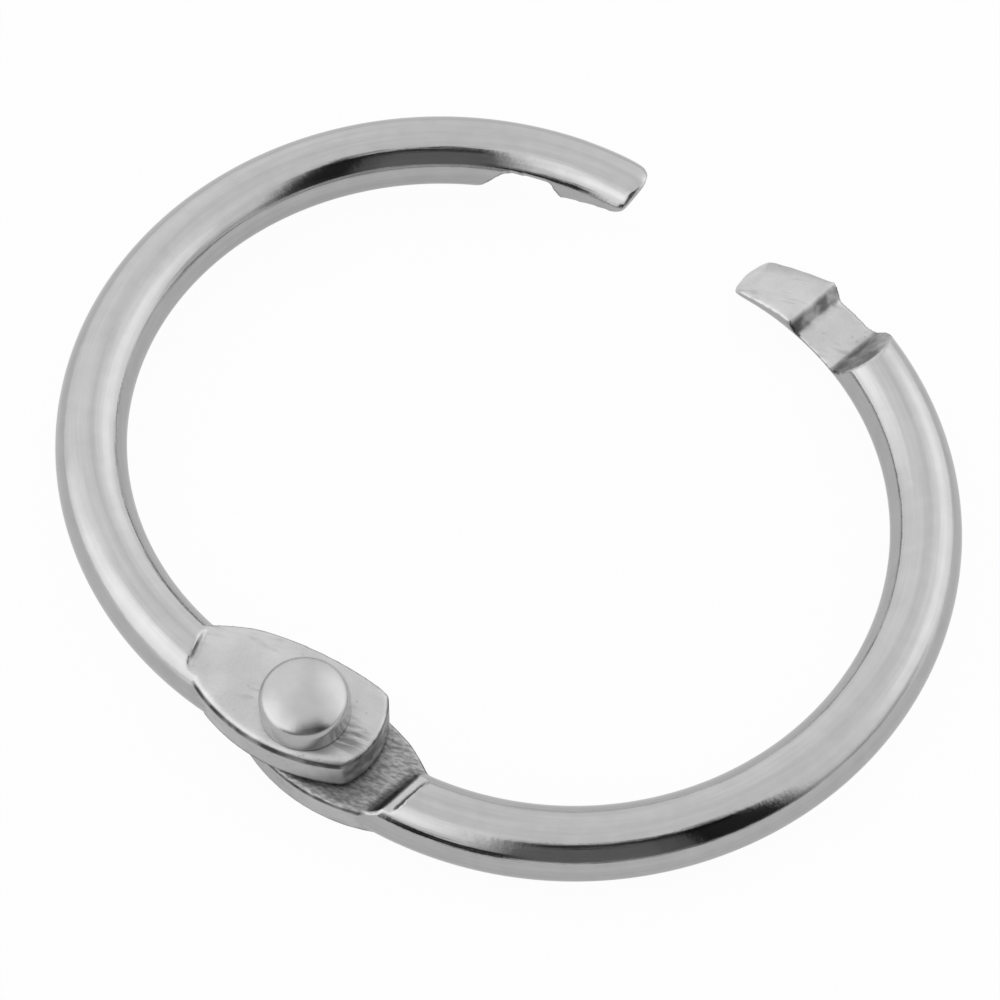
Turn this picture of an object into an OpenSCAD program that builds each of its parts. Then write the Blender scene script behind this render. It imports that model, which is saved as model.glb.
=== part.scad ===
// Hinged binder ring: two wire halves joined by a rivet, with hooked free ends that clasp.
// Units are millimetres.
//
// The ring lies in the XY plane. The origin is the centre of the closed ring, on the plane
// where the two ears meet. +Z points out of the ring's face, towards the rivet's domed
// head. The rivet stands on the -Y side, and the clasp closes on the +Y side, level with
// the ears' meeting plane. Each wire climbs from the clasp to its own ear, because the two
// ears together are thicker than the wire. Both halves are the same pressing: the right one
// is the left one turned over about Y and swung open about the rivet.

/* [Ring] */
// Inside diameter of the closed ring
inner_d = 25; // [20:1:50]
// Diameter of the round wire
wire_d = 2.8; // [2.6:0.1:3.2]
// Angle by which the right half is swung open
open_angle = 25; // [14:1:90]

/* [Hinge ears] */
// Height of each wire's middle at the rivet over the plane where the ears meet
hinge_rise = 0.7; // [0.3:0.05:0.8]
// Depth of an ear's pressed outer face below the wire's surface
press_depth = 0.3; // [0.2:0.05:0.4]
// Gap between the two ears' facing flats
ear_gap = 0.06; // [0.04:0.01:0.2]
// Radius of an ear's round end
ear_end_r = 2.95; // [2.7:0.05:3.1]
// Distance from the rivet's axis inwards to the middle of that round end
ear_offset = 0.4; // [0:0.1:0.5]
// How far an ear stands out past the wire's outer side at the rivet
ear_out_bulge = 0.55; // [0.3:0.05:0.8]
// Radius of an ear's bowed outer edge
out_side_r = 7.3; // [6.5:0.1:10]
// How far an ear stands out past the wire's inner side where it is widest
ear_in_bulge = 1.14; // [0.9:0.02:1.5]
// Distance from the rivet's axis back to where the inner edge stands out most
bulge_back = 1.9; // [1.2:0.1:2.6]
// Distance from the rivet's axis back to where the inner edge starts to tuck into the wire
tuck_back = 3; // [2.8:0.1:3.4]
// Radius of the inner edge where it tucks into the wire
tuck_r = 9; // [8:0.5:12]
// Distance from the rivet's axis back to the foot of the shoulder behind the other ear
shoulder_back = 3.75; // [3.6:0.05:4.1]
// Radius of the hollow at the foot of that shoulder
shoulder_fillet = 0.7; // [0.4:0.05:0.8]
// Distance from the rivet's axis back to the step where the pressed faces end
step_back = 4.8; // [4.6:0.1:5.4]
// Rounding of an ear's outer rim
rim_round = 0.36; // [0.2:0.02:0.44]
// Rounding of an ear's other edges
edge_round = 0.12; // [0.06:0.02:0.2]

/* [Rivet] */
// Diameter of the rivet's shank
shank_d = 2; // [1.6:0.1:2.4]
// Diameter of the domed head
head_d = 3.4; // [3:0.1:4]
// Height of the head's side, up to where the dome would meet it
head_side = 0.85; // [0.6:0.05:1]
// Height of the dome over that side
head_dome = 0.85; // [0.5:0.05:1.2]
// Rounding between the head's side and its dome
head_round = 0.22; // [0.1:0.02:0.3]
// Diameter of the tail that is peened over
tail_d = 3.3; // [2.8:0.1:3.8]
// Radial clearance where the rivet is held in the left ear
held_clearance = 0.02; // [0.01:0.01:0.05]
// Radial clearance where the right ear turns on the rivet
turning_clearance = 0.05; // [0.02:0.01:0.1]
// Play between the tail and the right ear
tail_play = 0.04; // [0.02:0.01:0.1]

/* [Clasp] */
// Half the length over which the two free ends lap
lap_half = 2.35; // [2:0.05:2.8]
// Height of each neck's flat from the ring's middle plane
neck_z = 0.5; // [0.35:0.05:0.6]
// How far each hook reaches past the middle plane at its catching face
hook_reach = 0.2; // [0.1:0.01:0.25]
// Angle at which a hook's face slopes back from there to its end
hook_taper = 11; // [0:1:14]
// Gap between the two hooks' catching faces
catch_gap = 0.14; // [0.08:0.02:0.3]
// Sideways run of a catching face for each millimetre of its height
catch_lean = 0.8; // [0.4:0.1:1]
// Sideways run of a sloped shoulder or end for each millimetre of its height
ramp_lean = 0.77; // [0.5:0.05:1]
// Gap between a free end and the shoulder it meets
end_gap = 0.15; // [0.1:0.01:0.3]
// Radius of the hollow between a neck's flat and its shoulder
neck_fillet = 0.8; // [0.3:0.1:0.9]
// Rounding of a hook's corner beside its catching face
catch_round = 0.45; // [0.2:0.05:0.6]
// Rounding of a hook's corner at its end
end_round = 0.9; // [0.3:0.1:1.2]
// Radius of a free end's rounded outline
nose_r = 1.75; // [1.6:0.05:2.4]
// How far the middle of that outline lies inside the wire's centre line
nose_inset = 0.35; // [0:0.05:0.5]
// Tilt of that outline across the wire
nose_tilt = 30; // [0:5:35]
// Tilt of the facet pressed on the outer side of a hook's face
facet_tilt = 24; // [15:1:35]
// Angle from the wire's direction at which that facet widens towards the end
facet_turn = 25; // [15:1:35]

/* [Hidden] */
$fn = 96;

wire_r = wire_d / 2;
ring_r = inner_d / 2 + wire_r;
hinge = [0, -ring_r, 0];
past = 1;
reach = 3 * wire_d;
corner_steps = 8;
head_r = head_d / 2;

// Heights in a half whose ear is the upper one.
wire_lean = asin(hinge_rise / (2 * ring_r));
ear_top = hinge_rise + wire_r - press_depth;
ear_foot = ear_gap / 2;
land_z = hinge_rise - wire_r + press_depth;
tail_h = wire_r + hinge_rise - ear_top - tail_play;

// Radius of the circle that rises by rise over half its span.
function bow_radius(span, rise) = (span * span + rise * rise) / (2 * rise);

// Distance of the wire's centre line from its tangent at the rivet, this far back.
function wire_sag(back) = ring_r - sqrt(ring_r * ring_r - back * back);

// A vector turned by this angle.
function turned(v, angle) = [v.x * cos(angle) - v.y * sin(angle), v.x * sin(angle) + v.y * cos(angle)];

// Centre of the circle of radius r through a and b that lies to the right of the way from a to b.
function arc_centre(a, b, r) =
    (a + b) / 2 + sqrt(r * r - norm(b - a) ^ 2 / 4) * [b.y - a.y, a.x - b.x] / norm(b - a);

// The ear's inner edge keeps the ring's bend, then tucks into the pressed wire at the step.
ear_in = wire_r + ear_in_bulge;
pressed_half_w = sqrt(wire_r * wire_r - (wire_r - press_depth) ^ 2);
tuck_start = [-tuck_back, ear_in - wire_sag(tuck_back - bulge_back)];
tuck_end = [-step_back, wire_sag(step_back) + pressed_half_w + 2 * edge_round];

// The dome is a cap of this ball; its rim is rounded by a circle that touches ball and side.
dome_r = bow_radius(head_r, head_dome);
dome_centre_z = head_side + head_dome - dome_r;
rim_x = head_r - head_round;
rim_z = dome_centre_z + sqrt((dome_r - head_round) ^ 2 - rim_x * rim_x);
rim_touch = [rim_x * dome_r, (rim_z - dome_centre_z) * dome_r] / (dome_r - head_round)
    + [0, dome_centre_z];

// Height of a hook's sloping face this far along the wire.
hook_x = catch_gap / 2 + hook_reach * catch_lean;
hook_slope = tan(hook_taper);
function hook_face_z(x) = (x - hook_x) * hook_slope - hook_reach;

// The wire runs past the clasp's middle as far as its sloped end reaches.
nose_x = lap_half - end_gap + (wire_r + neck_z) * ramp_lean;
nose_centre = [nose_x - nose_r, -wire_sag(nose_x - nose_r) - nose_inset, 0];
nose_angle = asin(nose_x / ring_r) + 2;

// A disc from low to high whose two rims are rounded.
module rounded_disc(r, low, high, low_round, high_round) {
    rotate_extrude($fn = 180) {
        translate([0, low])
            square([r - low_round, low_round]);
        translate([0, low + low_round])
            square([r, high - low - low_round - high_round]);
        translate([0, high - high_round])
            square([r - high_round, high_round]);
        translate([r - low_round, low + low_round])
            circle(low_round, $fn = 48);
        translate([r - high_round, high - high_round])
            circle(high_round, $fn = 48);
    }
}

// The pressed ear before it is drilled, about the rivet's axis: two bowed sides and a round end.
module ear_blank() {
    intersection() {
        // Inner edge.
        translate([-bulge_back, ear_in - ring_r, 0])
            rounded_disc(ring_r, ear_foot, ear_top, edge_round, edge_round);
        translate(arc_centre(tuck_end, tuck_start, tuck_r))
            rounded_disc(tuck_r, ear_foot, ear_top, edge_round, edge_round);
        // Outer edge.
        translate([0, out_side_r - wire_r - ear_out_bulge, 0])
            rounded_disc(out_side_r, ear_foot, ear_top, edge_round, rim_round);
        union() {
            translate([0, ear_offset, 0])
                rounded_disc(ear_end_r, ear_foot, ear_top, edge_round, edge_round);
            translate([-step_back, -reach, 0])
                cube([step_back, 2 * reach, ear_top]);
        }
    }
}

// The room that the other ear swings in: everything under the facing flat, up to the shoulder.
module swing_room() {
    translate([0, reach, 0])
        rotate([90, 0, 0])
            linear_extrude(2 * reach) {
                translate([-shoulder_back, ear_foot - reach])
                    square(reach);
                translate([-shoulder_back - shoulder_fillet, ear_foot - shoulder_fillet - reach])
                    square(reach);
                translate([-shoulder_back, ear_foot - shoulder_fillet])
                    circle(shoulder_fillet, $fn = 64);
            }
}

// What the die takes off the outer face and, beyond the shoulder, off the other face.
module pressed_faces() {
    translate([-step_back, -reach, ear_top])
        cube([step_back + reach, 2 * reach, reach]);
    translate([-step_back, -reach, land_z - reach])
        cube([step_back + reach, 2 * reach, reach]);
}

// Points of the arc of radius r that rounds the corner at b of an outline that runs a, b, c.
function rounded_corner(a, b, c, r) =
    let (
        to_a = (a - b) / norm(a - b),
        to_c = (c - b) / norm(c - b),
        half_angle = acos(to_a * to_c) / 2,
        centre = b + (to_a + to_c) / norm(to_a + to_c) * r / sin(half_angle),
        start = b + to_a * r / tan(half_angle) - centre,
        side = sign(to_a.x * to_c.y - to_a.y * to_c.x),
        turn = side * (2 * half_angle - 180)
    )
    [for (step = [0 : corner_steps]) centre + turned(start, turn * step / corner_steps)];

// Side view of what is cut from a free end, x along the wire and y across the ring's plane.
module clasp_profile() {
    shoulder_x = -lap_half - (wire_r + past + neck_z) * ramp_lean;
    end_x = lap_half - end_gap;
    nose_top_x = end_x + (neck_z + wire_r + past) * ramp_lean;
    shoulder = [shoulder_x, -wire_r - past];
    neck_foot = [-lap_half, neck_z];
    catch_foot = [catch_gap / 2 - neck_z * catch_lean, neck_z];
    catch_tip = [hook_x, -hook_reach];
    end_foot_x = (end_x + (neck_z - hook_reach - hook_x * hook_slope) * ramp_lean)
        / (1 - hook_slope * ramp_lean);
    end_foot = [end_foot_x, hook_face_z(end_foot_x)];
    end_top = [nose_top_x, wire_r + past];
    polygon(concat(
        [shoulder],
        rounded_corner(shoulder, neck_foot, catch_foot, neck_fillet),
        [catch_foot],
        rounded_corner(catch_foot, catch_tip, end_foot, catch_round),
        rounded_corner(catch_tip, end_foot, end_top, end_round),
        [end_top, end_top + [reach, 0], [nose_top_x + reach, -wire_r - past]]
    ));
}

// What is cut from a free end, about the clasp's middle.
module clasp_cut() {
    translate([0, reach, 0])
        rotate([90, 0, 0])
            linear_extrude(2 * reach)
                clasp_profile();
    // Facet on the hook's face.
    translate([lap_half / 2, wire_r / 2, hook_face_z(lap_half / 2)])
        rotate([0, -hook_taper, 0])
            rotate([facet_tilt, 0, -facet_turn])
                translate([-reach, -reach, -reach])
                    cube([2 * reach, 2 * reach, reach]);
    // Rounded outline of the end, which leans with the blade that cropped it.
    translate(nose_centre)
        rotate([-nose_tilt, 0, 0])
            difference() {
                translate([0, -reach, -reach])
                    cube([reach, 2 * reach, 2 * reach]);
                translate([0, 0, -reach - past])
                    cylinder(r = nose_r, h = 2 * (reach + past));
            }
}

// The round wire from the rivet to past the clasp.
module wire_arc() {
    rotate_extrude(angle = 180 + nose_angle, start = 90 - nose_angle, $fn = 240)
        translate([ring_r, 0])
            circle(wire_r);
}

// One pressed half, closed, with its ear on the +Z side and a hole of this radius for the rivet.
module half_ring(hole_r) {
    difference() {
        union() {
            translate([0, ring_r, 0])
                rotate([-wire_lean, 0, 0])
                    translate([0, -ring_r, 0])
                        wire_arc();
            translate(hinge)
                ear_blank();
        }
        translate(hinge) {
            swing_room();
            pressed_faces();
            translate([0, 0, -past])
                cylinder(r = hole_r, h = reach);
        }
        translate([0, ring_r, 0])
            clasp_cut();
    }
}

// Half of the ring that keeps its place; its ear is the upper one.
module left_half() {
    color("silver")
        half_ring(shank_d / 2 + held_clearance);
}

// Half that swings; its ear lies under the other one.
module right_half() {
    color("silver")
        translate(hinge)
            rotate([0, 0, -open_angle])
                translate(-hinge)
                    rotate([0, 180, 0])
                        half_ring(shank_d / 2 + turning_clearance);
}

// Outline of the rivet on one side of its axis, from its peened tail to its dome.
module rivet_profile() {
    translate([0, -ear_top - tail_play])
        square([shank_d / 2, 2 * ear_top + tail_play]);
    translate([0, -ear_top - tail_play - tail_h])
        square([tail_d / 2, tail_h]);
    translate([0, ear_top]) {
        square([head_r, rim_z]);
        translate([rim_x, rim_z])
            circle(head_round, $fn = 48);
        intersection() {
            translate([0, dome_centre_z])
                circle(dome_r, $fn = 180);
            polygon([[0, 0], [rim_x, 0], [rim_x, rim_z], rim_touch, [0, 2 * dome_r]]);
        }
    }
}

// Rivet that joins the ears, held in the left one.
module rivet() {
    color("lightgray")
        translate(hinge)
            rotate_extrude()
                rivet_profile();
}

left_half();
right_half();
rivet();
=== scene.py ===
# %% [markdown]
# # A hinged binder ring in plated steel wire
#
# Two half rings of round steel wire turn on one rivet. The end of each half at the rivet is
# pressed into a flat ear, and its free end is cut into a hook that clasps the other hook.
# The engineering model gives every place and size, and this script gives the finish: soft
# pressed edges, true round wire, nickel plate, and the light that shows them.
#
# Everything is in metres. The ring lies in the XY plane with its rivet on the -Y side, and
# its clasp closes on the +Y side.

# %% Load the engineering model
import bmesh
import bpy
import math
from mathutils import Matrix, Vector


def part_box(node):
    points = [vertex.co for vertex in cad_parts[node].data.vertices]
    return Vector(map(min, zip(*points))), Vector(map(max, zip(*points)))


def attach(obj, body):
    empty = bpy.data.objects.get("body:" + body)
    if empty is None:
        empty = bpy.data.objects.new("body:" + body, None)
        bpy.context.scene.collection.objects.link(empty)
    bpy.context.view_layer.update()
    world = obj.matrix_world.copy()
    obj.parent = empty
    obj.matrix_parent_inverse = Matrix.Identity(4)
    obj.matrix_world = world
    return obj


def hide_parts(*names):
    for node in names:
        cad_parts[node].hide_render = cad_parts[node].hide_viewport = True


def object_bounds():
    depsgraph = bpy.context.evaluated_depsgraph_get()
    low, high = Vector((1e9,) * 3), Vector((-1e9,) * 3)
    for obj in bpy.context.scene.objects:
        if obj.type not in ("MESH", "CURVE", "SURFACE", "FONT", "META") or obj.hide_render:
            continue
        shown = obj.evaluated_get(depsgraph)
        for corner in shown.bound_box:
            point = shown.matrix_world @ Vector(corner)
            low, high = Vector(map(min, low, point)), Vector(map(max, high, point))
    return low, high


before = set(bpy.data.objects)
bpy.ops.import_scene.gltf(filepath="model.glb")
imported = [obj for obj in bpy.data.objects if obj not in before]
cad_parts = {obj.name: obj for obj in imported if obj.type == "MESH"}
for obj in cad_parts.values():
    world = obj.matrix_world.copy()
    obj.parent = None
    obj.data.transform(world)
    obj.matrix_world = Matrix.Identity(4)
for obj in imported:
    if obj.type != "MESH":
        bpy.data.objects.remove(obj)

from types import SimpleNamespace

cad_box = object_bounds()


def in_mm(box):
    return [[round(1000 * value, 2) for value in corner] for corner in box]


print("model box in mm:", in_mm(cad_box))

# %% [markdown]
# ## Sizes that everything else follows
#
# A maker thinks in millimetres, so sizes are written in millimetres and turned into metres by
# one factor. Six of them drive the rest: the ring's inside diameter, the wire, how far the
# ring stands open, half the length over which the hooks lap, how high each wire has climbed
# where it reaches the rivet, and how deep the die presses the ears. The first check of such a
# list is to work something out from it that the model gives as well.

# %% Driving sizes
MM = 0.001
inner_d = 25 * MM
wire_d = 2.8 * MM
open_angle = math.radians(25)
lap_half = 2.35 * MM
hinge_rise = 0.7 * MM
press_depth = 0.3 * MM

wire_r = wire_d / 2
ring_r = inner_d / 2 + wire_r
hinge = Vector((0, -ring_r, 0))
ear_top = hinge_rise + wire_r - press_depth
wire_lean = math.asin(hinge_rise / (2 * ring_r))
rivet_low, rivet_high = (Vector(corner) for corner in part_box("rivet"))
print("ear's flat is at", round(ear_top / MM, 3), "mm")
print("rivet's axis, worked out and measured:", hinge.y / MM, (rivet_low.y + rivet_high.y) / 2 / MM)

# %% [markdown]
# ## Helpers for node trees
#
# Materials, the sky and the shape trees below are all made of nodes. Making a node takes
# three steps: add it, set its options, and fill its sockets with numbers or with the outputs
# of other nodes. One small helper does all three, so that each tree reads as a list of steps.
# Sums are what a tree has most of, so the common ones get short names of their own.

# %% Node helpers
def fill(tree, socket, value):
    """Fills a socket with a plain value or with another node's output."""
    if isinstance(value, bpy.types.NodeSocket):
        tree.links.new(value, socket)
    else:
        socket.default_value = value


def add_node(tree, kind, options=None, **sockets):
    """Adds a node. Sockets are named s0, s1 by place, or by their name with _ for a space."""
    made = tree.nodes.new(kind)
    for option, value in (options or {}).items():
        setattr(made, option, value)
    for name, value in sockets.items():
        key = int(name[1:]) if name[0] == "s" and name[1:].isdigit() else name.replace("_", " ")
        fill(tree, made.inputs[key], value)
    return made


def math_node(tree, operation, *values, clamp=False):
    """A Math node's output."""
    options = {"operation": operation, "use_clamp": clamp}
    sockets = {f"s{place}": value for place, value in enumerate(values)}
    return add_node(tree, "ShaderNodeMath", options, **sockets).outputs[0]


def vector_node(tree, operation, *values, out=0, **named):
    """One of a Vector Math node's outputs; out=1 is the number."""
    sockets = {f"s{place}": value for place, value in enumerate(values)}
    made = add_node(tree, "ShaderNodeVectorMath", {"operation": operation}, **sockets, **named)
    return made.outputs[out]


def split(tree, vector):
    """The three numbers of a vector."""
    return add_node(tree, "ShaderNodeSeparateXYZ", s0=vector).outputs


# %% Short names for common sums
def product(tree, *factors):
    result = factors[0]
    for factor in factors[1:]:
        result = math_node(tree, "MULTIPLY", result, factor)
    return result


def total(tree, first, second):
    return math_node(tree, "ADD", first, second)


def difference(tree, first, second):
    return math_node(tree, "SUBTRACT", first, second)


def largest(tree, *values):
    result = values[0]
    for value in values[1:]:
        result = math_node(tree, "MAXIMUM", result, value)
    return result


def size_of(tree, value):
    return math_node(tree, "ABSOLUTE", value)


def rest(tree, share):
    """What is left of 1 after this share, and never less than 0."""
    return math_node(tree, "SUBTRACT", 1.0, share, clamp=True)


# %% [markdown]
# A Geometry Nodes tree starts as an empty group with named inputs. Once it is on an object,
# Blender knows each input by an identifier and not by its name, so a helper looks that up.
# The evaluated object then gives a plain mesh, and the modifier has done its work.

# %% Shape tree helpers
def shape_tree(name, inputs):
    """An empty Geometry Nodes tree with these named inputs, as (tree, its inputs, its output)."""
    tree = bpy.data.node_groups.new(name, "GeometryNodeTree")
    tree.is_modifier = True
    tree.interface.new_socket("Geometry", in_out="INPUT", socket_type="NodeSocketGeometry")
    for title, kind in inputs:
        tree.interface.new_socket(title, in_out="INPUT", socket_type="NodeSocket" + kind)
    tree.interface.new_socket("Geometry", in_out="OUTPUT", socket_type="NodeSocketGeometry")
    return tree, tree.nodes.new("NodeGroupInput").outputs, tree.nodes.new("NodeGroupOutput").inputs[0]


def run_tree(obj, tree, values):
    """Puts the tree on obj, sets its inputs by their identifiers and returns the plain mesh."""
    modifier = obj.modifiers.new(tree.name, "NODES")
    modifier.node_group = tree
    for item in tree.interface.items_tree:
        if item.in_out == "INPUT" and item.name in values:
            modifier[item.identifier] = values[item.name]
    bpy.context.view_layer.update()
    evaluated = obj.evaluated_get(bpy.context.evaluated_depsgraph_get())
    mesh = bpy.data.meshes.new_from_object(evaluated)
    obj.modifiers.clear()
    return mesh


def store(tree, geometry, name, value, kind="FLOAT"):
    """Keeps a value on each point of the geometry, under this name."""
    options = {"data_type": kind, "domain": "POINT"}
    made = add_node(
        tree, "GeometryNodeStoreNamedAttribute", options, Geometry=geometry, Name=name, Value=value)
    return made.outputs[0]


def finish_tree(tree, geometry, material, out):
    """Ends a shape tree: smooth shading, real geometry and a material."""
    smooth = add_node(tree, "GeometryNodeSetShadeSmooth", Geometry=geometry).outputs[0]
    whole = add_node(tree, "GeometryNodeRealizeInstances", Geometry=smooth).outputs[0]
    painted = add_node(tree, "GeometryNodeSetMaterial", Geometry=whole, Material=material).outputs[0]
    tree.links.new(painted, out)
    print("tree", tree.name, "has", len(tree.nodes), "nodes")
    return tree


# %% [markdown]
# ## Nickel plate
#
# The wire is drawn steel with bright nickel on it. Drawn wire is not a mirror: it keeps faint
# lines along its length, and the plate follows the steel's orange peel, so reflections keep
# their place but have soft, slightly restless edges. Where the die has struck the steel, on
# the ears and in the clasp, the surface is duller, scratched and pitted.
#
# A first idea is two materials with a hard border between them. A better one is one material
# that reads how hard each spot was struck from a number stored on the mesh, so the border
# falls exactly where the round wire ends. The mesh stores four more such numbers, all from 0
# to 1: how hollow a spot is, because grime stays there and painted shade goes there; how much
# painted shade a spot gets, on walls that the die tore and in broad dips; whether it is a sharp
# corner, where the rim gets a dark line of painted shade; and whether it is the end of the wire,
# which was tumbled smooth and gets painted light. A stored vector gives the wire's own
# coordinates, so that drawing lines can follow its bend.

# %% Names of what the meshes store
STRUCK = "struck"
HOLLOW = "hollow"
DIP_AND_WALL_SHADE = "dull"
CORNER = "corner"
NOSE = "nose"
DRAWN = "drawn"


def stored(tree, name, output="Fac"):
    return add_node(tree, "ShaderNodeAttribute", {"attribute_name": name}).outputs[output]


# %% Shading helpers
def ramp(tree, value, low, high, start=0.0, end=1.0):
    """A number that goes from start to end while value goes from low to high."""
    made = add_node(tree, "ShaderNodeMapRange", {"clamp": True}, Value=value)
    for socket, number in (("From Min", low), ("From Max", high), ("To Min", start), ("To Max", end)):
        fill(tree, made.inputs[socket], number)
    return made.outputs[0]


def blend_colours(tree, amount, first, second):
    made = add_node(tree, "ShaderNodeMix", {"data_type": "RGBA"}, s0=amount, s6=first, s7=second)
    return made.outputs[2]


def noise(tree, vector, scale, detail):
    return add_node(tree, "ShaderNodeTexNoise", Vector=vector, Scale=scale, Detail=detail).outputs[0]


def stretched(tree, vector, scale, turn=0.0):
    """Coordinates turned about Z, then scaled along each axis."""
    return add_node(tree, "ShaderNodeMapping", Vector=vector, Rotation=(0, 0, turn), Scale=scale).outputs[0]


# %% [markdown]
# A finish is mostly patterns laid over each other, each at its own scale. Noise scales are per
# metre, so 1000 gives spots about a millimetre apart. A noise whose coordinates are scaled
# unevenly turns into lines, and that is all that a scratch or a drawing line needs.

# %% Patterns of the plate
def plate_patterns(tree, place, streak_turn):
    """The plate's patterns, each a number from 0 to 1."""
    along_wire = stretched(tree, stored(tree, DRAWN, "Vector"), (4.5, 4.5, 0.16))
    along_streaks = stretched(tree, place, (900, 5200, 2500), streak_turn)
    across_streaks = stretched(tree, place, (3600, 9800, 5000), streak_turn + 1.35)
    cloud = noise(tree, place, 420, 3)
    pit_cell = add_node(tree, "ShaderNodeTexVoronoi", Vector=place, Scale=3100).outputs["Distance"]
    pit_shape = ramp(tree, pit_cell, 0.10, 0.26, 1.0, 0.0)
    pit_here = ramp(tree, cloud, 0.52, 0.64)
    return SimpleNamespace(
        cloud=cloud,
        patchy=noise(tree, place, 520, 2),
        peel=noise(tree, place, 1300, 2),
        grain=noise(tree, place, 9000, 3),
        drawn_line=noise(tree, along_wire, 1, 3),
        streak=noise(tree, along_streaks, 1, 4),
        hatch=noise(tree, across_streaks, 1, 2),
        pit=product(tree, pit_shape, pit_here),
    )


# %% [markdown]
# Beside the stored numbers there are two zones that plain coordinates find. The flats between
# the two ears were sheared, and they are the only struck faces level with the ring's middle
# near the hinge; they are painted darker, for their shear marks and as painted shade under the
# upper ear. And one spot beside the rivet's head is rubbed where the riveting tool
# slipped.

# %% Zones of the surface
SHEARED_HEIGHT = 0.22 * MM
HINGE_STARTS = -7.5 * MM
HINGE_FULL = -8.5 * MM
rub_spot = hinge + Vector((1.9 * MM, -0.4 * MM, ear_top))
rub_reach = 1.1 * MM


def surface_zones(tree, place):
    """How far each spot belongs to each zone, from 0 to 1."""
    zones = SimpleNamespace(**{name: stored(tree, name) for name in (STRUCK, HOLLOW, DIP_AND_WALL_SHADE, CORNER, NOSE)})
    level = split(tree, place)
    low_flat = ramp(tree, size_of(tree, level[2]), SHEARED_HEIGHT, SHEARED_HEIGHT * 1.6, 1.0, 0.0)
    at_hinge = ramp(tree, level[1], HINGE_STARTS, HINGE_FULL)
    zones.sheared = product(tree, low_flat, at_hinge, zones.struck)
    zones.tumbled = product(tree, ramp(tree, zones.nose, 0.1, 0.7), zones.struck)
    from_rub = vector_node(tree, "DISTANCE", place, rub_spot, out=1)
    zones.rubbed = ramp(tree, from_rub, rub_reach, rub_reach * 0.35)
    return zones


# %% [markdown]
# Colour is built in the order in which the real surface got it: the plate itself, then
# scuffs, then a faint unevenness all over, then grime, laid on together with painted shade in
# creases, in dips and along the rims.

# %% Colour of the plate
# The wire's end faces are painted this light colour, a painted light.
PAINTED_TIP_LIGHT = (0.9, 0.9, 0.9, 1.0)
# Soot is the colour of grime and of painted shade.
SOOT_AND_SHADE = (0.04, 0.04, 0.04, 1.0)
WORN_SHARE = 0.35


def clean_colour(tree, zones, bright, struck_colour, sheared_and_shaded_colour):
    colour = blend_colours(tree, zones.struck, bright, struck_colour)
    # Painted light: the wire's end faces are lighter.
    colour = blend_colours(tree, product(tree, zones.tumbled, 0.6), colour, PAINTED_TIP_LIGHT)
    # The sheared flats are darker, for their shear marks and as painted shade under the upper ear.
    return blend_colours(tree, zones.sheared, colour, sheared_and_shaded_colour)


def scuffs(tree, zones, look):
    """Scratches in loose patches, hatching on the sheared flats, which is partly painted shade, and the
    tool's slips.
    """
    streaks = ramp(tree, look.streak, 0.46, 0.66)
    hatched = total(tree, product(tree, streaks, 0.3), ramp(tree, look.hatch, 0.38, 0.62, 0.25, 0.9))
    scored = ramp(tree, zones.sheared, 0.0, 1.0, streaks, hatched)
    # The sheared flats are darkened almost fully: their hatching and painted shade under the upper ear.
    depth = largest(tree, product(tree, zones.sheared, 0.95), ramp(tree, look.patchy, 0.50, 0.60, 0.14, 0.4))
    slips = product(tree, zones.rubbed, ramp(tree, look.streak, 0.40, 0.54, 0.3, 0.95))
    return product(tree, zones.struck, largest(tree, product(tree, scored, depth), slips))


def unevenness(tree, zones, look):
    """A faint mottle everywhere, stronger where struck, and drawing lines on the wire."""
    spots = ramp(tree, look.grain, 0.3, 0.7, 0.0, 0.08)
    blotch = total(tree, spots, ramp(tree, look.cloud, 0.42, 0.58, 0.0, 0.14))
    mottle = total(tree, ramp(tree, look.peel, 0.3, 0.7, 0.0, 0.10), product(tree, zones.struck, blotch))
    lines = product(tree, ramp(tree, look.drawn_line, 0.3, 0.7, 0.0, 0.16), rest(tree, zones.struck))
    return total(tree, mottle, lines)


def grime_and_painted_shade(tree, zones, look):
    """Grime and painted shade in the hollows; then all dark places together, with painted shade along the
    rims, in dips and on torn walls.
    """
    crease_grime_and_shade = product(tree, ramp(tree, zones.hollow, 0.2, 1.0), ramp(tree, look.grain, 0.35, 0.65, 0.3, 0.85))
    # Rims get a broken dark line of painted shade, with a little grime.
    edge = product(tree, ramp(tree, zones.corner, 0.05, 0.45), ramp(tree, look.peel, 0.35, 0.6, 0.5, 0.95))
    # Broad dips and torn walls get painted shade.
    dim = product(tree, ramp(tree, zones.dull, 0.15, 0.9), ramp(tree, look.peel, 0.38, 0.6, 0.2, 0.75))
    return crease_grime_and_shade, largest(tree, crease_grime_and_shade, edge, dim)


# %% [markdown]
# Relief goes from broad to fine, each bump laid over the one before: orange peel, drawing
# lines, the die's streaks and pits, and the grain. Depths are true depths, a few thousandths
# of a millimetre, and that is enough to make a reflection restless.

# %% Roughness and relief of the plate
PEEL_DEPTH = 0.007 * MM
LINE_DEPTH = 0.010 * MM
MARK_DEPTH = 0.018 * MM
GRAIN_DEPTH = 0.0016 * MM


def plate_roughness(tree, zones, look, crease_grime_and_shade, drawn_roughness, struck_roughness):
    drawn = ramp(tree, look.cloud, 0.3, 0.7, drawn_roughness - 0.03, drawn_roughness + 0.04)
    die = ramp(tree, look.streak, 0.3, 0.7, struck_roughness - 0.05, struck_roughness + 0.07)
    mixed = ramp(tree, zones.struck, 0.0, 1.0, drawn, die)
    return total(tree, mixed, product(tree, largest(tree, crease_grime_and_shade, zones.tumbled), 0.3))


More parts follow.
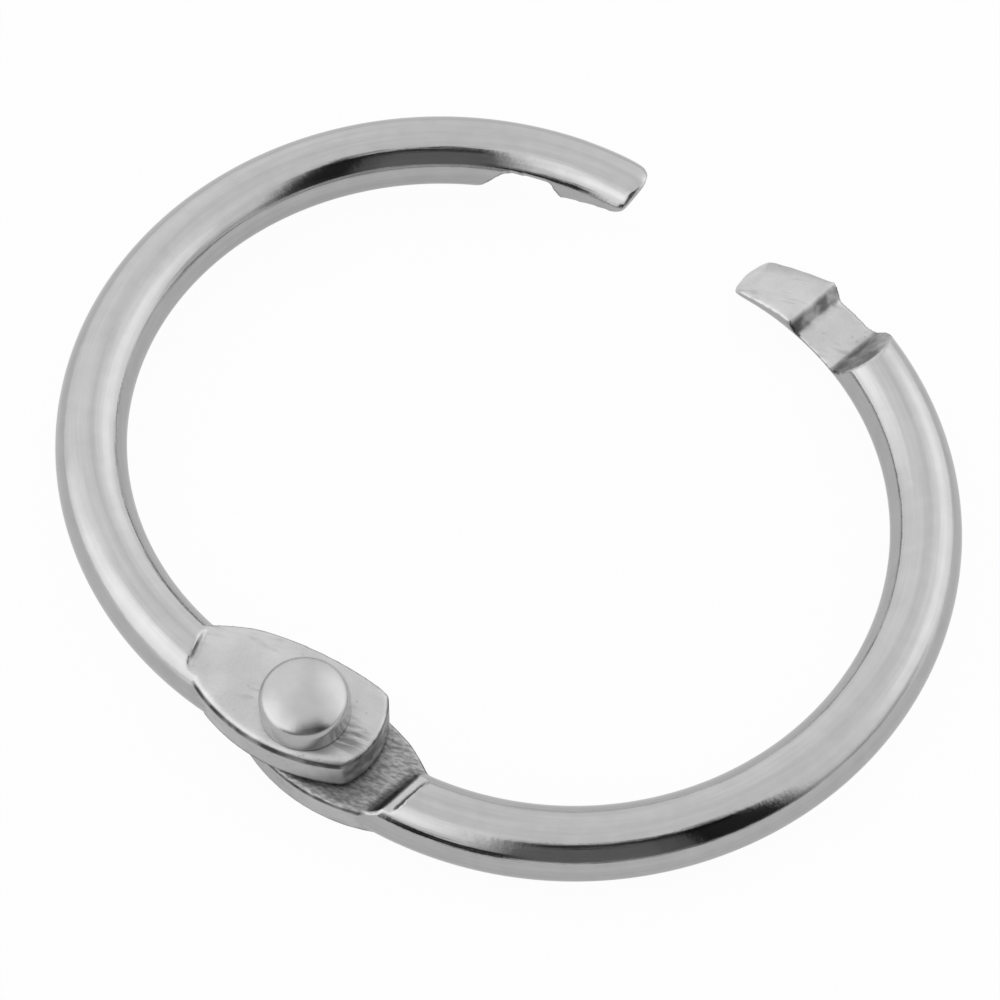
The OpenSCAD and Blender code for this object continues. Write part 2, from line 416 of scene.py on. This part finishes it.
def plate_relief(tree, zones, look):
    lines = product(tree, look.drawn_line, rest(tree, zones.struck))
    streaks = product(tree, look.streak, ramp(tree, zones.sheared, 0.0, 1.0, 0.3, 0.7))
    pits = product(tree, look.pit, ramp(tree, zones.sheared, 0.0, 1.0, 0.15, 1.0))
    marks = product(tree, zones.struck, difference(tree, streaks, pits))
    layers = ((look.peel, PEEL_DEPTH), (lines, LINE_DEPTH), (marks, MARK_DEPTH), (look.grain, GRAIN_DEPTH))
    under = {}
    for height, depth in layers:
        bump = add_node(tree, "ShaderNodeBump", Height=height, Distance=depth, Strength=1.0, **under)
        under = {"Normal": bump.outputs[0]}
    return bump.outputs[0]


# %% Nickel on the wire and on the rivet
def nickel(name, bright, struck_colour, sheared_and_shaded_colour, drawn_roughness, struck_roughness, streak_turn):
    """Nickel plate: bright where the steel was drawn or turned, duller where it was struck."""
    material = bpy.data.materials.new(name)
    material.use_nodes = True
    tree = material.node_tree
    shader = tree.nodes["Principled BSDF"]
    shader.inputs["Metallic"].default_value = 1.0
    place = add_node(tree, "ShaderNodeTexCoord").outputs["Object"]
    zones = surface_zones(tree, place)
    look = plate_patterns(tree, place, streak_turn)

    worn = tuple(WORN_SHARE * value for value in struck_colour[:3]) + (1.0,)
    colour = clean_colour(tree, zones, bright, struck_colour, sheared_and_shaded_colour)
    marked = largest(tree, scuffs(tree, zones, look), unevenness(tree, zones, look))
    colour = blend_colours(tree, marked, colour, worn)
    colour = blend_colours(tree, product(tree, look.pit, zones.struck, 0.4), colour, worn)
    # Grime and painted shade in creases, along rims, in dips and on torn walls darken towards soot.
    crease_grime_and_shade, dark = grime_and_painted_shade(tree, zones, look)
    colour = blend_colours(tree, dark, colour, SOOT_AND_SHADE)

    roughness = plate_roughness(tree, zones, look, crease_grime_and_shade, drawn_roughness, struck_roughness)
    tree.links.new(colour, shader.inputs["Base Color"])
    tree.links.new(roughness, shader.inputs["Roughness"])
    tree.links.new(plate_relief(tree, zones, look), shader.inputs["Normal"])
    print("material", name, "has", len(tree.nodes), "nodes")
    return material


def grey(value):
    return (value, value, value, 1.0)


wire_nickel = nickel(
    "wire_nickel", bright=grey(0.515), struck_colour=grey(0.61), sheared_and_shaded_colour=grey(0.50),
    drawn_roughness=0.11, struck_roughness=0.34, streak_turn=math.radians(-48),
)
rivet_nickel = nickel(
    "rivet_nickel", bright=grey(0.54), struck_colour=grey(0.50), sheared_and_shaded_colour=grey(0.40),
    drawn_roughness=0.24, struck_roughness=0.36, streak_turn=math.radians(60),
)

# %% [markdown]
# ## Soft edges on a pressed part
#
# No edge on a pressed and plated part is sharp. The engineering model has the true forms, but
# its edges are razor lines, and light gives that away at once. A Bevel modifier fails on such
# a mesh, because its faces are long slivers. So each half is copied and skinned over by a
# voxel remesh, which makes small even squares, and smoothed for a few rounds, which melts
# every edge by about a tenth of a millimetre.
#
# Smoothing also shrinks the round wire a little and leaves ripples in its reflections. The
# wire follows a plain rule, though: every point of its skin is one wire radius from a circle.
# That is work for Geometry Nodes. The first step is to find, for each point, the nearest spot
# of that circle and the place that the point should have on the wire's true skin.

# %% Where each point is on the wire
def on_wire(tree, given, place):
    """The nearest point of the wire's true skin, and what leads to it."""
    from_centre = vector_node(tree, "SUBTRACT", place, given["Ring Centre"])
    height = vector_node(tree, "DOT_PRODUCT", from_centre, given["Ring Axis"], out=1)
    rise = vector_node(tree, "SCALE", given["Ring Axis"], Scale=height)
    outwards = vector_node(tree, "NORMALIZE", vector_node(tree, "SUBTRACT", from_centre, rise))
    to_circle = vector_node(tree, "SCALE", outwards, Scale=given["Ring Radius"])
    on_circle = vector_node(tree, "ADD", given["Ring Centre"], to_circle)
    off_circle = vector_node(tree, "SUBTRACT", place, on_circle)
    facing_out = vector_node(tree, "NORMALIZE", off_circle)
    to_skin = vector_node(tree, "SCALE", facing_out, Scale=given["Wire Radius"])
    return SimpleNamespace(
        height=height,
        outwards=outwards,
        off_circle=off_circle,
        facing_out=facing_out,
        true_skin=vector_node(tree, "ADD", on_circle, to_skin),
    )


# %% [markdown]
# The second step is to tell round wire from the rest. A point of round wire is near the true
# skin and faces straight out of it. An ear's flat crosses that skin somewhere too, but faces
# another way, so a test by distance alone would leave a line across the ear. Points that pass
# both tests are put back exactly, and the rest are stored as struck.

# %% Which points are round wire
MIN_FACING = 0.985
FACING_FALL = 25.0


def struck_or_round(tree, given, spot, normal):
    """Two numbers from 0 to 1: how firmly a point is put back, and how hard it was struck."""
    distance = vector_node(tree, "LENGTH", spot.off_circle, out=1)
    error = size_of(tree, difference(tree, distance, given["Wire Radius"]))
    off_skin = math_node(tree, "DIVIDE", error, given["Tolerance"])
    facing = vector_node(tree, "DOT_PRODUCT", normal, spot.facing_out, out=1)
    turned_away = math_node(
        tree, "MULTIPLY", difference(tree, MIN_FACING, facing), FACING_FALL, clamp=True)
    doubt = largest(tree, off_skin, turned_away)
    hold = math_node(tree, "MULTIPLY", rest(tree, doubt), 2.0, clamp=True)
    struck = math_node(tree, "SUBTRACT", product(tree, doubt, 1.6), 0.6, clamp=True)
    return hold, struck


# %% [markdown]
# The third step looks at the surface round each point. A point that lies under the average of
# its neighbours is in a hollow, and one above it is on a bulge. A few rounds of averaging find
# a crease, and many find a broad dip. Corners round the flats are bulges that face well off
# the ring's axis. Walls that face along the wire were torn by the die. Neither is wanted near
# the end of the wire, where tumbling has worn such marks away.

# %% Hollows, dips, corners and torn walls
CREASE_ROUNDS = 4
DIP_ROUNDS = 38
CORNER_TILT = 0.36
WALL_FACING = 0.35


def averaged(tree, value, rounds, kind="FLOAT", **more):
    options = {"data_type": kind}
    return add_node(
        tree, "GeometryNodeBlurAttribute", options, Value=value, Iterations=rounds, **more).outputs[0]


def sunk(tree, place, normal, rounds):
    """How far a point lies under the average of the points round it."""
    average = averaged(tree, place, rounds, "FLOAT_VECTOR")
    return vector_node(tree, "DOT_PRODUCT", vector_node(tree, "SUBTRACT", average, place), normal, out=1)


def near_the_tip(tree, given, spot):
    """1 at the end of the wire, falling to 0 a hook's length back."""
    share = vector_node(tree, "DOT_PRODUCT", spot.outwards, given["Tip Way"], out=1)
    past_start = difference(tree, share, given["Tip Share"])
    return math_node(tree, "DIVIDE", past_start, rest(tree, given["Tip Share"]), clamp=True)


def surface_marks(tree, given, spot, place, normal, struck, near_tip):
    """What the mesh stores about each point, apart from how hard it was struck."""
    crease = sunk(tree, place, normal, CREASE_ROUNDS)
    hollow = math_node(tree, "DIVIDE", crease, given["Hollow Depth"], clamp=True)
    broad_depth = product(tree, given["Hollow Depth"], 5.0)
    dip = math_node(tree, "DIVIDE", sunk(tree, place, normal, DIP_ROUNDS), broad_depth, clamp=True)
    off_tip = rest(tree, product(tree, near_tip, 4.0))

    steep = size_of(tree, vector_node(tree, "DOT_PRODUCT", normal, given["Ring Axis"], out=1))
    band = rest(tree, product(tree, size_of(tree, difference(tree, steep, CORNER_TILT)), 3.0))
    bulge_depth = product(tree, given["Hollow Depth"], -0.25)
    bulge = math_node(tree, "DIVIDE", crease, bulge_depth, clamp=True)
    corner = averaged(tree, product(tree, band, bulge, struck, off_tip), 1)

    ahead = vector_node(tree, "CROSS_PRODUCT", given["Ring Axis"], spot.outwards)
    facing_ahead = size_of(tree, vector_node(tree, "DOT_PRODUCT", normal, ahead, out=1))
    wall = math_node(tree, "MULTIPLY", difference(tree, facing_ahead, WALL_FACING), 2.2, clamp=True)
    # Painted shade goes into broad dips and onto the walls that the die tore.
    dull = averaged(tree, largest(tree, dip, product(tree, wall, struck, off_tip)), 2)
    return {HOLLOW: hollow, DIP_AND_WALL_SHADE: dull, CORNER: corner, NOSE: product(tree, near_tip, wall)}


# %% [markdown]
# The wire's own coordinates are two across its section and one along it. The length along it
# comes from the angle round the ring. That angle jumps where a full turn ends, which would cut
# the drawing lines, so its size is used without its sign.

# %% The wire's own coordinates
def wire_coordinates(tree, given, spot):
    flat_way = split(tree, spot.outwards)
    angle = size_of(tree, math_node(tree, "ARCTAN2", flat_way[1], flat_way[0]))
    across = vector_node(tree, "DOT_PRODUCT", spot.off_circle, spot.outwards, out=1)
    along = product(tree, angle, given["Ring Radius"])
    return add_node(tree, "ShaderNodeCombineXYZ", s0=across, s1=spot.height, s2=along).outputs[0]


# %% [markdown]
# The last step stores all this, puts the round wire back in place and tumbles the tip: its
# points are averaged with their neighbours many times, and the more so the nearer they are to
# the end. A weight that rises evenly keeps the hook's outline free of dents.

# %% Geometry Nodes tree that trues up the wire
TUMBLE_ROUNDS = 20


def wire_tree():
    tree, given, out = shape_tree("true_up_wire", (
        ("Ring Centre", "Vector"), ("Ring Axis", "Vector"), ("Ring Radius", "Float"),
        ("Wire Radius", "Float"), ("Tolerance", "Float"), ("Hollow Depth", "Float"),
        ("Tip Way", "Vector"), ("Tip Share", "Float"), ("Material", "Material"),
    ))
    place = add_node(tree, "GeometryNodeInputPosition").outputs[0]
    normal = add_node(tree, "GeometryNodeInputNormal").outputs[0]
    spot = on_wire(tree, given, place)
    hold, struck = struck_or_round(tree, given, spot, normal)
    near_tip = near_the_tip(tree, given, spot)
    marks = surface_marks(tree, given, spot, place, normal, struck, near_tip)

    skin = store(tree, given["Geometry"], STRUCK, struck)
    for name, value in marks.items():
        skin = store(tree, skin, name, value)
    skin = store(tree, skin, DRAWN, wire_coordinates(tree, given, spot), "FLOAT_VECTOR")

    target = add_node(
        tree, "ShaderNodeMix", {"data_type": "VECTOR"}, s0=hold, s4=place, s5=spot.true_skin).outputs[1]
    skin = add_node(tree, "GeometryNodeSetPosition", Geometry=skin, Position=target).outputs[0]
    trued = add_node(tree, "GeometryNodeInputPosition").outputs[0]
    tumbled = averaged(tree, trued, TUMBLE_ROUNDS, "FLOAT_VECTOR", Weight=near_tip)
    skin = add_node(tree, "GeometryNodeSetPosition", Geometry=skin, Position=tumbled).outputs[0]
    return finish_tree(tree, skin, given["Material"], out)


true_up_wire = wire_tree()

# %% [markdown]
# ## The two halves
#
# Both halves are the same pressing. The right one is the left one turned over and swung open
# about the rivet, so its wire's circle is found by giving the left one's centre and axis the
# same two turns. Remeshing works in millimetres here, because the smallest voxel that Blender
# allows is 0.0001 of its unit, which in metres would be a tenth of a millimetre. The finished
# mesh is scaled back.

# %% Skin one half
VOXEL = 0.082
SOFTEN_ROUNDS = 5
SOFTEN = 0.5
SKIN_TOLERANCE = 0.05
HOLLOW_DEPTH = 0.03
TIP_REACH = math.radians(8.7)


def merged_copy(node_name, scale):
    """A closed copy of a model node's mesh, scaled about the origin."""
    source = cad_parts[node_name]
    work = bmesh.new()
    work.from_mesh(source.data)
    bmesh.ops.transform(work, matrix=source.matrix_world, verts=work.verts)
    bmesh.ops.remove_doubles(work, verts=work.verts, dist=1e-7)
    bmesh.ops.scale(work, vec=(scale, scale, scale), verts=work.verts)
    mesh = bpy.data.meshes.new(node_name + "_copy")
    work.to_mesh(mesh)
    work.free()
    return mesh


def show(name, mesh, body, node_name):
    """Makes the finished piece, which stands for one model node."""
    piece = bpy.data.objects.new(name, mesh)
    bpy.context.scene.collection.objects.link(piece)
    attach(piece, body)
    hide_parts(node_name)
    mesh.calc_loop_triangles()
    print(name, "has", len(mesh.loop_triangles), "triangles")
    return piece


def skinned_half(name, node_name, body, centre, axis, tip):
    worker = bpy.data.objects.new(name + "_work", merged_copy(node_name, 1 / MM))
    bpy.context.scene.collection.objects.link(worker)
    skin = worker.modifiers.new("skin", "REMESH")
    skin.mode = "VOXEL"
    skin.voxel_size = VOXEL
    soften = worker.modifiers.new("soften", "SMOOTH")
    soften.factor = SOFTEN
    soften.iterations = SOFTEN_ROUNDS
    mesh = run_tree(worker, true_up_wire, {
        "Ring Centre": centre / MM, "Ring Axis": axis, "Ring Radius": ring_r / MM,
        "Wire Radius": wire_r / MM, "Tolerance": SKIN_TOLERANCE, "Hollow Depth": HOLLOW_DEPTH,
        "Tip Way": tip, "Tip Share": math.cos(TIP_REACH), "Material": wire_nickel,
    })
    bpy.data.objects.remove(worker)
    mesh.transform(Matrix.Scale(MM, 4))
    return show(name, mesh, body, node_name)


# %% Place both halves
lean = Matrix.Rotation(-wire_lean, 4, "X")
clasp = Vector((0, ring_r, 0))
left_centre = clasp + lean @ Vector((0, -ring_r, 0))
left_axis = lean @ Vector((0, 0, 1))
turn_over = Matrix.Rotation(math.pi, 4, "Y")
swing = Matrix.Translation(hinge) @ Matrix.Rotation(-open_angle, 4, "Z") @ Matrix.Translation(-hinge)
to_right = swing @ turn_over
right_centre = to_right @ left_centre
right_axis = to_right.to_3x3() @ left_axis

tip_angle = math.asin(lap_half / ring_r)
left_tip = lean.to_3x3() @ Vector((math.sin(tip_angle), math.cos(tip_angle), 0))
right_tip = to_right.to_3x3() @ left_tip
skinned_half("left_wire", "left_half", "left", left_centre, left_axis, left_tip)
skinned_half("right_wire", "right_half", "right", right_centre, right_axis, right_tip)

# %% [markdown]
# ## The rivet
#
# The rivet is a turned part: a low domed head with a well rounded rim, a shank that the ears
# hide, and a tail that was peened over below. A turned part is one outline spun about an axis.
# Blender's Screw modifier can spin it, but a tree does it as well and stays one rule: a flat
# grid whose rows run along the outline and whose columns run round the axis. Each grid point
# looks up its place on the outline and is turned about the axis by its share of the circle.

# %% Outline of the rivet, from the tail's middle to the top of the dome
head_r = (rivet_high.x - rivet_low.x) / 2
dome_rise = 0.52 * MM
head_round = 0.48 * MM
shank_r = 1.0 * MM
tail_r = 1.65 * MM
tail_round = 0.12 * MM
tail_crown = 0.06 * MM
under_ear = -ear_top - 0.04 * MM
foot_bevel = 0.04 * MM
ARC_STEPS = 12
CROWN_STEPS = 6


def arc(centre_x, centre_z, radius, start, end, steps=ARC_STEPS):
    """Points of an arc, with its angles in degrees."""
    angles = [math.radians(start + (end - start) * step / steps) for step in range(steps + 1)]
    return [(centre_x + radius * math.cos(a), centre_z + radius * math.sin(a)) for a in angles]


def tail_outline():
    side_z = rivet_low.z + tail_crown + tail_round
    shares = [step / CROWN_STEPS for step in range(CROWN_STEPS)]
    crown = [(tail_r * 0.8 * share, rivet_low.z + tail_crown * share ** 2) for share in shares]
    return crown + arc(tail_r - tail_round, side_z, tail_round, -90, 0) + [(tail_r, under_ear)]


def head_outline():
    dome_r = (head_r ** 2 + dome_rise ** 2) / (2 * dome_rise)
    dome_z = rivet_high.z - dome_r
    rim_x = head_r - head_round
    rim_z = dome_z + math.sqrt((dome_r - head_round) ** 2 - rim_x ** 2)
    rim_angle = math.degrees(math.atan2(rim_z - dome_z, rim_x))
    foot = [(head_r - foot_bevel, ear_top), (head_r, ear_top + foot_bevel)]
    rim = arc(rim_x, rim_z, head_round, 0, rim_angle)
    return foot + rim + arc(0, dome_z, dome_r, rim_angle, 90, 2 * ARC_STEPS)


outline = tail_outline() + [(shank_r, under_ear), (shank_r, ear_top)] + head_outline()
print("the rivet's outline has", len(outline), "points, from", outline[0], "to", outline[-1])

# %% [markdown]
# The grid's rows are spaced evenly along the outline, so a fine grid keeps its corners. After
# the turn, the first and last columns lie on each other, and so do all points of the first
# and last row: Merge by Distance closes that seam and both poles. Two of the plate's stored
# numbers are given here as well, so that the same kind of material can read them: the tail
# was struck, and the ring of contact under the head gets grime and painted shade.

# %% Lathe tree
def lathe_tree():
    tree, given, out = shape_tree("turn_outline", (
        ("Axis Point", "Vector"), ("Sectors", "Int"), ("Rows", "Int"), ("Struck Below", "Float"),
        ("Grime And Shade Height", "Float"), ("Grime And Shade Reach", "Float"), ("Material", "Material"),
    ))
    grid = add_node(
        tree, "GeometryNodeMeshGrid", Size_X=1.0, Size_Y=1.0, Vertices_X=given["Sectors"],
        Vertices_Y=given["Rows"]).outputs[0]
    flat = split(tree, add_node(tree, "GeometryNodeInputPosition").outputs[0])
    share_round = total(tree, flat[0], 0.5)
    share_along = math_node(tree, "ADD", flat[1], 0.5, clamp=True)
    line = add_node(tree, "GeometryNodeMeshToCurve", Mesh=given["Geometry"]).outputs[0]
    sample = add_node(tree, "GeometryNodeSampleCurve", {"mode": "FACTOR"}, Curves=line, Factor=share_along)
    turned = add_node(
        tree, "ShaderNodeVectorRotate", {"rotation_type": "Z_AXIS"}, Vector=sample.outputs["Position"],
        Angle=product(tree, share_round, 2 * math.pi)).outputs[0]
    on_axis = vector_node(tree, "ADD", turned, given["Axis Point"])
    spun = add_node(tree, "GeometryNodeSetPosition", Geometry=grid, Position=on_axis).outputs[0]
    closed = add_node(tree, "GeometryNodeMergeByDistance", Geometry=spun, Distance=0.001 * MM).outputs[0]

    height = split(tree, add_node(tree, "GeometryNodeInputPosition").outputs[0])[2]
    struck = math_node(tree, "LESS_THAN", height, given["Struck Below"])
    # The ring where the head meets the ear gets grime and painted shade.
    off_contact = size_of(tree, difference(tree, height, given["Grime And Shade Height"]))
    hollow = rest(tree, math_node(tree, "DIVIDE", off_contact, given["Grime And Shade Reach"]))
    closed = store(tree, closed, STRUCK, struck)
    closed = store(tree, closed, HOLLOW, hollow)
    return finish_tree(tree, closed, given["Material"], out)


# %% Turn the rivet
def turned_rivet():
    line = bpy.data.meshes.new("rivet_outline")
    edges = [(place, place + 1) for place in range(len(outline) - 1)]
    line.from_pydata([(x, 0, z) for x, z in outline], edges, [])
    worker = bpy.data.objects.new("rivet_work", line)
    bpy.context.scene.collection.objects.link(worker)
    mesh = run_tree(worker, lathe_tree(), {
        "Axis Point": hinge, "Sectors": 145, "Rows": 260, "Struck Below": under_ear,
        "Grime And Shade Height": ear_top, "Grime And Shade Reach": 0.12 * MM, "Material": rivet_nickel,
    })
    bpy.data.objects.remove(worker)
    work = bmesh.new()
    work.from_mesh(mesh)
    bmesh.ops.recalc_face_normals(work, faces=work.faces)
    open_edges = sum(1 for edge in work.edges if len(edge.link_faces) != 2)
    work.to_mesh(mesh)
    work.free()
    print("open edges on the rivet:", open_edges)
    return show("domed_rivet", mesh, "left", "rivet")


turned_rivet()

# %% [markdown]
# ## Floor
#
# The floor takes the ring's shadow. For rays from the camera it is mixed with plain white
# light, so it reads as a white sheet that carries only a faint shadow. Reflections see a
# smaller share of that light, because the underside of a wire that lies on a sheet mirrors
# the shaded paper close by.

# %% Floor
FLOOR_HALF = 1.5
FLOOR_COLOUR = (0.9, 0.9, 0.9, 1.0)
WHITE = (1.0, 1.0, 1.0, 1.0)
GLOW_SEEN = 0.96
GLOW_MIRRORED = 0.3


def mirrored_ray(tree, ray):
    return largest(tree, ray["Is Glossy Ray"], ray["Is Transmission Ray"])


def floor_material():
    material = bpy.data.materials.new("floor_white")
    material.use_nodes = True
    tree = material.node_tree
    shader = tree.nodes["Principled BSDF"]
    shader.inputs["Base Color"].default_value = FLOOR_COLOUR
    shader.inputs["Roughness"].default_value = 0.9
    ray = add_node(tree, "ShaderNodeLightPath").outputs
    seen = product(tree, ray["Is Camera Ray"], GLOW_SEEN)
    glow_share = total(tree, seen, product(tree, mirrored_ray(tree, ray), GLOW_MIRRORED))
    glow = add_node(tree, "ShaderNodeEmission", Color=WHITE, Strength=1.0).outputs[0]
    mix = add_node(tree, "ShaderNodeMixShader", s0=glow_share, s1=shader.outputs[0], s2=glow).outputs[0]
    tree.links.new(mix, tree.nodes["Material Output"].inputs[0])
    return material


def white_floor():
    half, low = FLOOR_HALF, cad_box[0][2]
    corners = [(-half, -half, low), (half, -half, low), (half, half, low), (-half, half, low)]
    mesh = bpy.data.meshes.new("floor")
    mesh.from_pydata(corners, [], [(0, 1, 2, 3)])
    mesh.materials.append(floor_material())
    floor = bpy.data.objects.new("floor", mesh)
    bpy.context.scene.collection.objects.link(floor)


white_floor()
print("floor at", round(cad_box[0][2] / MM, 2), "mm")

# %% [markdown]
# ## Sky
#
# Plated wire has hardly any colour of its own: what it shows is its surroundings. A plain
# white surround makes it flat grey, so the set has what a product studio has. Here the whole
# set is drawn into the sky as soft patches, and only reflections see them, so the light that
# falls on the floor stays even. Patches brighter than white paper lay broad bands along the
# wire. The open front of the set, on the side of the viewer, is darker and draws the thin
# dark line that makes a wire look like metal.
#
# Each patch has a heading, counted from +X towards +Y, a height range and a soft border, all
# in degrees. Its tone multiplies what is under it: 1 changes nothing.

# %% Sky
ROOM_STRENGTH = 0.8
SKY_PATCHES = (
    # middle, half width, lowest, highest, softness, tone
    (-140, 28, 4, 54, 16, 1.5),    # large soft box, back left
    (52, 38, 10, 52, 16, 1.42),    # large soft box, right
    (-108, 14, 34, 70, 8, 1.28),   # small bounce card
    (165, 45, 5, 70, 15, 1.16),    # bright side wall
    (-64, 24, 2, 60, 6, 0.18),     # open front
    (-31, 14, 3, 63, 5, 0.02),     # its darkest part
    (-54, 30, 51, 64, 4, 0.12),    # upper edge of the opening
    (-97, 16, -6, 16, 4, 0.02),    # gap under the bounce card
    (0, 22, 5, 14, 5, 0.5),        # low shade on the right
)


def sky_patch(tree, heading, height, middle, half_width, low, high, soft):
    """1 inside a patch of the sky and 0 outside."""
    off = math_node(tree, "PINGPONG", difference(tree, heading, math.radians(middle)), math.pi)
    wide = ramp(tree, off, math.radians(half_width + soft), math.radians(half_width - soft))
    above = ramp(tree, height, math.radians(low - soft), math.radians(low + soft))
    below = ramp(tree, height, math.radians(high + soft), math.radians(high - soft))
    return product(tree, wide, product(tree, above, below))


def mirrored_light(tree):
    """How bright the set is in each direction; 1 is white paper."""
    way = split(tree, add_node(tree, "ShaderNodeTexCoord").outputs["Generated"])
    heading = math_node(tree, "ARCTAN2", way[1], way[0])
    height = math_node(tree, "ARCSINE", way[2])
    light = 1.0
    for *shape, tone in SKY_PATCHES:
        change = product(tree, sky_patch(tree, heading, height, *shape), tone - 1.0)
        light = product(tree, light, total(tree, change, 1.0))
    return light


def studio_sky():
    world = bpy.data.worlds.new("studio")
    bpy.context.scene.world = world
    world.use_nodes = True
    tree = world.node_tree
    room = tree.nodes["Background"]
    room.inputs["Color"].default_value = WHITE
    room.inputs["Strength"].default_value = ROOM_STRENGTH
    ray = add_node(tree, "ShaderNodeLightPath").outputs
    paper = add_node(tree, "ShaderNodeBackground", Color=WHITE, Strength=mirrored_light(tree)).outputs[0]
    backdrop = add_node(tree, "ShaderNodeBackground", Color=WHITE, Strength=1.0).outputs[0]
    unseen = add_node(
        tree, "ShaderNodeMixShader", s0=mirrored_ray(tree, ray), s1=room.outputs[0], s2=paper).outputs[0]
    final = add_node(
        tree, "ShaderNodeMixShader", s0=ray["Is Camera Ray"], s1=unseen, s2=backdrop).outputs[0]
    tree.links.new(final, tree.nodes["World Output"].inputs[0])
    print("the sky has", len(SKY_PATCHES), "patches and", len(tree.nodes), "nodes")


studio_sky()
bpy.context.scene.view_settings.view_transform = "Standard"

# %% [markdown]
# ## Lamps
#
# Two area lamps give the floor and the ring's shadow a direction. A lamp's power says little
# about how bright it looks, because a large lamp spreads it. An area lamp looks as bright as
# its power divided by pi and by its area, so the power is worked out from the brightness that
# is wanted. The sky shows behind a lamp in a reflection and adds to it, so both are kept faint.

# %% Lamps
def soft_box(name, azimuth, elevation, distance, width, depth, brightness):
    """An area lamp aimed at the ring, this many times as bright as white paper.

    Azimuth turns from +X towards +Y."""
    a, e = math.radians(azimuth), math.radians(elevation)
    way = Vector((math.cos(a) * math.cos(e), math.sin(a) * math.cos(e), math.sin(e)))
    data = bpy.data.lights.new(name, "AREA")
    data.shape = "RECTANGLE"
    data.size = width
    data.size_y = depth
    data.energy = brightness * math.pi * width * depth
    lamp = bpy.data.objects.new(name, data)
    lamp.location = way * distance
    lamp.rotation_euler = way.to_track_quat("Z", "Y").to_euler()
    bpy.context.scene.collection.objects.link(lamp)
    print(name, "gives", round(data.energy, 2), "W")


soft_box("left_box", azimuth=-145, elevation=30, distance=0.5, width=0.75, depth=0.5, brightness=0.12)
soft_box("right_box", azimuth=40, elevation=24, distance=0.5, width=0.5, depth=0.36, brightness=0.10)

# %% [markdown]
# ## Camera
#
# The camera looks down on the ring from the front, a little to the right. A long lens from a
# short distance is how such small things are taken. Its place is worked out from the point
# that it looks at, two angles and a distance, and then it is rolled about its own line of
# sight.

# %% Camera
SENSOR_WIDTH = 36
NEAREST_SEEN = 1 * MM


def studio_camera(target, azimuth, elevation, roll, distance, lens):
    a, e, r = (math.radians(angle) for angle in (azimuth, elevation, roll))
    back = Vector((math.sin(a) * math.cos(e), -math.cos(a) * math.cos(e), math.sin(e)))
    level_right = Vector((math.cos(a), math.sin(a), 0))
    right = level_right * math.cos(r) + back.cross(level_right) * math.sin(r)
    up = back.cross(right)
    camera = bpy.data.objects.new("camera", bpy.data.cameras.new("camera"))
    bpy.context.scene.collection.objects.link(camera)
    stand = Matrix((right, up, back)).transposed().to_4x4()
    stand.translation = target + back * distance
    camera.matrix_world = stand
    camera.data.sensor_width = SENSOR_WIDTH
    camera.data.lens = lens
    camera.data.clip_start = NEAREST_SEEN
    bpy.context.scene.camera = camera
    print("camera at", [round(value / MM, 1) for value in stand.translation], "mm")


studio_camera(
    target=Vector((3.12, -1.91, 0)) * MM, azimuth=19.68, elevation=60.33, roll=1.79,
    distance=123.85 * MM, lens=113.71,
)
